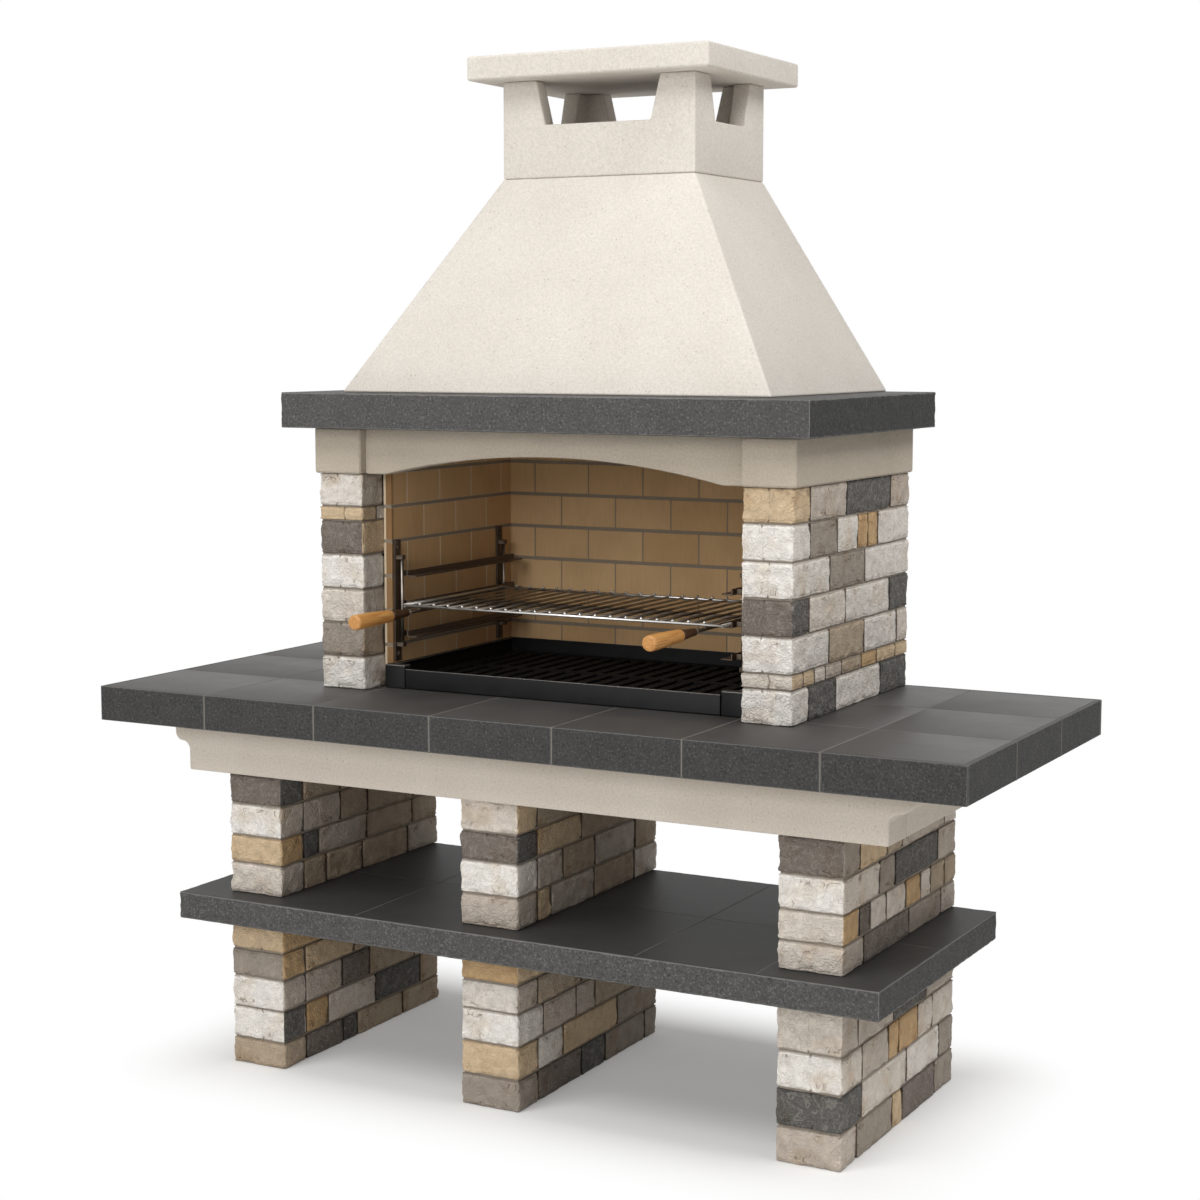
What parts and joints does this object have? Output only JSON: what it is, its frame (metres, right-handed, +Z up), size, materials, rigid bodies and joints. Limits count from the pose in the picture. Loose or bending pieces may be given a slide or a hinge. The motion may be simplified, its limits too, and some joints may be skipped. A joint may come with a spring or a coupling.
{
  "type": "masonry barbecue",
  "caption": "Free-standing masonry barbecue: stone piers, shelf, tiled worktop, lined stone firebox with a sliding grill, ash drawer and grate, smoke hood and chimney.",
  "frame": {"origin": "on the ground, under the middle of the object's box", "axes": "+X to the right as seen from the front, +Y to the back, +Z up; the firebox opens to -Y"},
  "size_m": [2.1, 0.9, 2.309],
  "materials": {
    "split_stone": "rough split face, mixed white, sand, taupe and charcoal",
    "mortar": "sanded mortar",
    "tile_grout": "matte grout",
    "dark_tile": "matte anthracite tile",
    "dark_slab": "rough anthracite cast slab",
    "firebrick": "matte tan firebrick",
    "grey_concrete": "plain cast concrete",
    "cream_concrete": "fine sanded cast concrete",
    "black_steel": "satin black heat-proof paint",
    "cast_iron": "rough black cast iron",
    "dark_steel": "dark oxide steel",
    "chromed_steel": "bright chromed steel",
    "stained_beech": "dark stained beech",
    "beech": "oiled beech"
  },
  "bodies": {
    "masonry": {"arch_lintel": "cream_concrete", "back_lining_bricks": "firebrick", "back_wall": "grey_concrete", "chimney_cap": "cream_concrete", "chimney_crown": "cream_concrete", "fire_pan": "black_steel", "firebox_wall_mortar": "mortar", "front_beam": "cream_concrete", "guide_rods": "chromed_steel", "left_firebox_wall_stones": "split_stone", "left_front_upright": "dark_steel", "left_lining_bricks": "firebrick", "left_pan_post": "black_steel", "left_rack_rails": "dark_steel", "left_rear_upright": "dark_steel", "left_side_beam": "cream_concrete", "left_side_lintel": "cream_concrete", "lining_mortar": "mortar", "lower_left_pier_stones": "split_stone", "lower_middle_pier_stones": "split_stone", "lower_pier_mortar": "mortar", "lower_right_pier_stones": "split_stone", "mantel_slab": "dark_slab", "rack_bolts": "chromed_steel", "rear_beam": "cream_concrete", "right_firebox_wall_stones": "split_stone", "right_front_upright": "dark_steel", "right_lining_bricks": "firebrick", "right_pan_post": "black_steel", "right_rack_rails": "dark_steel", "right_rear_upright": "dark_steel", "right_side_beam": "cream_concrete", "right_side_lintel": "cream_concrete", "shelf_slab": "dark_slab", "smoke_hood": "cream_concrete", "upper_left_pier_stones": "split_stone", "upper_middle_pier_stones": "split_stone", "upper_pier_mortar": "mortar", "upper_right_pier_stones": "split_stone", "worktop_edge_tiles": "dark_tile", "worktop_grout": "tile_grout", "worktop_slab": "grey_concrete", "worktop_top_tiles": "dark_tile"},
    "cooking_grill": {"grill_frame": "chromed_steel", "grill_crossbar": "chromed_steel", "grill_rods": "chromed_steel", "left_handle_rod": "dark_steel", "left_ferrule": "chromed_steel", "left_handle_neck": "stained_beech", "left_grip": "beech", "right_handle_rod": "dark_steel", "right_ferrule": "chromed_steel", "right_handle_neck": "stained_beech", "right_grip": "beech"},
    "ash_drawer": {"drawer_tray": "black_steel", "drawer_front": "black_steel"},
    "fire_grate": {"charcoal_grate": "cast_iron"}
  },
  "joints": [
    {"name": "grill_slide", "type": "slide", "parent": "masonry", "child": "cooking_grill", "axis": [0, -1, 0], "range_m": [0, 0.3]},
    {"name": "drawer_slide", "type": "slide", "parent": "masonry", "child": "ash_drawer", "axis": [0, -1, 0], "range_m": [0, 0.28]},
    {"name": "grate_lift", "type": "slide", "parent": "masonry", "child": "fire_grate", "axis": [0, 0, 1], "range_m": [0, 0.06]}
  ]
}
